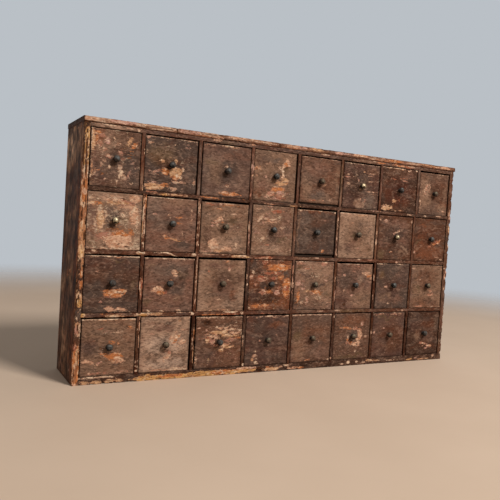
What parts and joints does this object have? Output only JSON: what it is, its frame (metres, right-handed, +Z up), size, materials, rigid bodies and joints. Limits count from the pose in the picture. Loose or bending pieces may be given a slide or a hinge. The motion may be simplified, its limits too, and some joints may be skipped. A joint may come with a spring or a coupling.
{
  "type": "haberdashery cabinet",
  "caption": "Shallow bank of small square-fronted wooden drawers with turned knobs, for haberdashery, buttons and other small goods.",
  "frame": {"origin": "middle of the carcass's footprint, on the floor, under the bottom board", "axes": "+X along the length, to the right as seen from the front; +Y from the front to the back; +Z up"},
  "size_m": [1.192, 0.1895, 0.625],
  "materials": {
    "painted_pine_drawer": "old brown paint, flaked and rubbed back to orange pine",
    "painted_pine_carcass": "old dark brown paint, worn to bare pine along the edges",
    "bare_pine_back": "bare pine, aged and dusty"
  },
  "bodies": {
    "carcass": {"back_board_1": "bare_pine_back", "back_board_2": "bare_pine_back", "back_board_3": "bare_pine_back", "back_board_4": "bare_pine_back", "bottom_board": "painted_pine_carcass", "ceiling_board": "painted_pine_carcass", "dividers_row_1": "painted_pine_carcass", "dividers_row_2": "painted_pine_carcass", "dividers_row_3": "painted_pine_carcass", "dividers_row_4": "painted_pine_carcass", "shelf_1": "painted_pine_carcass", "shelf_2": "painted_pine_carcass", "shelf_3": "painted_pine_carcass", "side_left": "painted_pine_carcass", "side_right": "painted_pine_carcass", "top_board": "painted_pine_carcass"},
    "drawer_row_1_column_1": {"drawer_row_1_column_1": "painted_pine_drawer"},
    "drawer_row_1_column_2": {"drawer_row_1_column_2": "painted_pine_drawer"},
    "drawer_row_1_column_3": {"drawer_row_1_column_3": "painted_pine_drawer"},
    "drawer_row_1_column_4": {"drawer_row_1_column_4": "painted_pine_drawer"},
    "drawer_row_1_column_5": {"drawer_row_1_column_5": "painted_pine_drawer"},
    "drawer_row_1_column_6": {"drawer_row_1_column_6": "painted_pine_drawer"},
    "drawer_row_1_column_7": {"drawer_row_1_column_7": "painted_pine_drawer"},
    "drawer_row_1_column_8": {"drawer_row_1_column_8": "painted_pine_drawer"},
    "drawer_row_2_column_1": {"drawer_row_2_column_1": "painted_pine_drawer"},
    "drawer_row_2_column_2": {"drawer_row_2_column_2": "painted_pine_drawer"},
    "drawer_row_2_column_3": {"drawer_row_2_column_3": "painted_pine_drawer"},
    "drawer_row_2_column_4": {"drawer_row_2_column_4": "painted_pine_drawer"},
    "drawer_row_2_column_5": {"drawer_row_2_column_5": "painted_pine_drawer"},
    "drawer_row_2_column_6": {"drawer_row_2_column_6": "painted_pine_drawer"},
    "drawer_row_2_column_7": {"drawer_row_2_column_7": "painted_pine_drawer"},
    "drawer_row_2_column_8": {"drawer_row_2_column_8": "painted_pine_drawer"},
    "drawer_row_3_column_1": {"drawer_row_3_column_1": "painted_pine_drawer"},
    "drawer_row_3_column_2": {"drawer_row_3_column_2": "painted_pine_drawer"},
    "drawer_row_3_column_3": {"drawer_row_3_column_3": "painted_pine_drawer"},
    "drawer_row_3_column_4": {"drawer_row_3_column_4": "painted_pine_drawer"},
    "drawer_row_3_column_5": {"drawer_row_3_column_5": "painted_pine_drawer"},
    "drawer_row_3_column_6": {"drawer_row_3_column_6": "painted_pine_drawer"},
    "drawer_row_3_column_7": {"drawer_row_3_column_7": "painted_pine_drawer"},
    "drawer_row_3_column_8": {"drawer_row_3_column_8": "painted_pine_drawer"},
    "drawer_row_4_column_1": {"drawer_row_4_column_1": "painted_pine_drawer"},
    "drawer_row_4_column_2": {"drawer_row_4_column_2": "painted_pine_drawer"},
    "drawer_row_4_column_3": {"drawer_row_4_column_3": "painted_pine_drawer"},
    "drawer_row_4_column_4": {"drawer_row_4_column_4": "painted_pine_drawer"},
    "drawer_row_4_column_5": {"drawer_row_4_column_5": "painted_pine_drawer"},
    "drawer_row_4_column_6": {"drawer_row_4_column_6": "painted_pine_drawer"},
    "drawer_row_4_column_7": {"drawer_row_4_column_7": "painted_pine_drawer"},
    "drawer_row_4_column_8": {"drawer_row_4_column_8": "painted_pine_drawer"}
  },
  "joints": [
    {"name": "slide_row_1_column_1", "type": "slide", "parent": "carcass", "child": "drawer_row_1_column_1", "axis": [0, -1, 0], "range_m": [0, 0.115]},
    {"name": "slide_row_1_column_2", "type": "slide", "parent": "carcass", "child": "drawer_row_1_column_2", "axis": [0, -1, 0], "range_m": [0, 0.115]},
    {"name": "slide_row_1_column_3", "type": "slide", "parent": "carcass", "child": "drawer_row_1_column_3", "axis": [0, -1, 0], "range_m": [0, 0.115]},
    {"name": "slide_row_1_column_4", "type": "slide", "parent": "carcass", "child": "drawer_row_1_column_4", "axis": [0, -1, 0], "range_m": [0, 0.115]},
    {"name": "slide_row_1_column_5", "type": "slide", "parent": "carcass", "child": "drawer_row_1_column_5", "axis": [0, -1, 0], "range_m": [0, 0.115]},
    {"name": "slide_row_1_column_6", "type": "slide", "parent": "carcass", "child": "drawer_row_1_column_6", "axis": [0, -1, 0], "range_m": [0, 0.115]},
    {"name": "slide_row_1_column_7", "type": "slide", "parent": "carcass", "child": "drawer_row_1_column_7", "axis": [0, -1, 0], "range_m": [0, 0.115]},
    {"name": "slide_row_1_column_8", "type": "slide", "parent": "carcass", "child": "drawer_row_1_column_8", "axis": [0, -1, 0], "range_m": [0, 0.115]},
    {"name": "slide_row_2_column_1", "type": "slide", "parent": "carcass", "child": "drawer_row_2_column_1", "axis": [0, -1, 0], "range_m": [0, 0.115]},
    {"name": "slide_row_2_column_2", "type": "slide", "parent": "carcass", "child": "drawer_row_2_column_2", "axis": [0, -1, 0], "range_m": [0, 0.115]},
    {"name": "slide_row_2_column_3", "type": "slide", "parent": "carcass", "child": "drawer_row_2_column_3", "axis": [0, -1, 0], "range_m": [0, 0.115]},
    {"name": "slide_row_2_column_4", "type": "slide", "parent": "carcass", "child": "drawer_row_2_column_4", "axis": [0, -1, 0], "range_m": [0, 0.115]},
    {"name": "slide_row_2_column_5", "type": "slide", "parent": "carcass", "child": "drawer_row_2_column_5", "axis": [0, -1, 0], "range_m": [0, 0.115]},
    {"name": "slide_row_2_column_6", "type": "slide", "parent": "carcass", "child": "drawer_row_2_column_6", "axis": [0, -1, 0], "range_m": [0, 0.115]},
    {"name": "slide_row_2_column_7", "type": "slide", "parent": "carcass", "child": "drawer_row_2_column_7", "axis": [0, -1, 0], "range_m": [0, 0.115]},
    {"name": "slide_row_2_column_8", "type": "slide", "parent": "carcass", "child": "drawer_row_2_column_8", "axis": [0, -1, 0], "range_m": [0, 0.115]},
    {"name": "slide_row_3_column_1", "type": "slide", "parent": "carcass", "child": "drawer_row_3_column_1", "axis": [0, -1, 0], "range_m": [0, 0.115]},
    {"name": "slide_row_3_column_2", "type": "slide", "parent": "carcass", "child": "drawer_row_3_column_2", "axis": [0, -1, 0], "range_m": [0, 0.115]},
    {"name": "slide_row_3_column_3", "type": "slide", "parent": "carcass", "child": "drawer_row_3_column_3", "axis": [0, -1, 0], "range_m": [0, 0.115]},
    {"name": "slide_row_3_column_4", "type": "slide", "parent": "carcass", "child": "drawer_row_3_column_4", "axis": [0, -1, 0], "range_m": [0, 0.115]},
    {"name": "slide_row_3_column_5", "type": "slide", "parent": "carcass", "child": "drawer_row_3_column_5", "axis": [0, -1, 0], "range_m": [0, 0.115]},
    {"name": "slide_row_3_column_6", "type": "slide", "parent": "carcass", "child": "drawer_row_3_column_6", "axis": [0, -1, 0], "range_m": [0, 0.115]},
    {"name": "slide_row_3_column_7", "type": "slide", "parent": "carcass", "child": "drawer_row_3_column_7", "axis": [0, -1, 0], "range_m": [0, 0.115]},
    {"name": "slide_row_3_column_8", "type": "slide", "parent": "carcass", "child": "drawer_row_3_column_8", "axis": [0, -1, 0], "range_m": [0, 0.115]},
    {"name": "slide_row_4_column_1", "type": "slide", "parent": "carcass", "child": "drawer_row_4_column_1", "axis": [0, -1, 0], "range_m": [0, 0.115]},
    {"name": "slide_row_4_column_2", "type": "slide", "parent": "carcass", "child": "drawer_row_4_column_2", "axis": [0, -1, 0], "range_m": [0, 0.115]},
    {"name": "slide_row_4_column_3", "type": "slide", "parent": "carcass", "child": "drawer_row_4_column_3", "axis": [0, -1, 0], "range_m": [0, 0.115]},
    {"name": "slide_row_4_column_4", "type": "slide", "parent": "carcass", "child": "drawer_row_4_column_4", "axis": [0, -1, 0], "range_m": [0, 0.115]},
    {"name": "slide_row_4_column_5", "type": "slide", "parent": "carcass", "child": "drawer_row_4_column_5", "axis": [0, -1, 0], "range_m": [0, 0.115]},
    {"name": "slide_row_4_column_6", "type": "slide", "parent": "carcass", "child": "drawer_row_4_column_6", "axis": [0, -1, 0], "range_m": [0, 0.115]},
    {"name": "slide_row_4_column_7", "type": "slide", "parent": "carcass", "child": "drawer_row_4_column_7", "axis": [0, -1, 0], "range_m": [0, 0.115]},
    {"name": "slide_row_4_column_8", "type": "slide", "parent": "carcass", "child": "drawer_row_4_column_8", "axis": [0, -1, 0], "range_m": [0, 0.115]}
  ]
}
